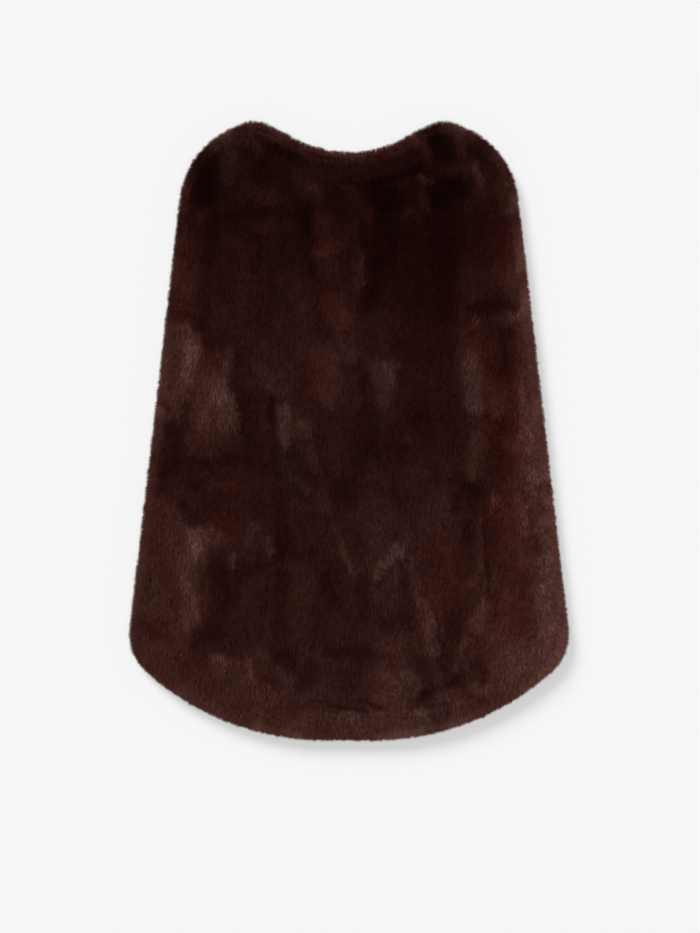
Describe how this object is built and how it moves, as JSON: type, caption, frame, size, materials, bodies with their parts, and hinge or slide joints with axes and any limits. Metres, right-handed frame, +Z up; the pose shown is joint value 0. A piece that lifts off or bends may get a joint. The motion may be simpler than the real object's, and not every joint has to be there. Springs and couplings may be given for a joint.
{
  "type": "faux fur cape, laid flat",
  "caption": "Short-pile faux fur cape laid flat with its back upwards: flared sides, rounded hem and a shallow scooped back neck over two hidden fronts.",
  "frame": {"origin": "middle of the cape's outline, on the surface it lies on", "axes": "+Y from the hem to the neck along the centre back, +Z up through the thickness towards the back, +X across to the wearer's right"},
  "size_m": [0.6002, 0.8473, 0.0213],
  "materials": {
    "fur_pile": "short dense plush pile, dark chocolate burgundy, combed towards the hem, with brushed patches that catch the light"
  },
  "bodies": {
    "root": {"back_panel": "fur_pile", "front_left": "fur_pile", "front_right": "fur_pile"}
  },
  "joints": []
}
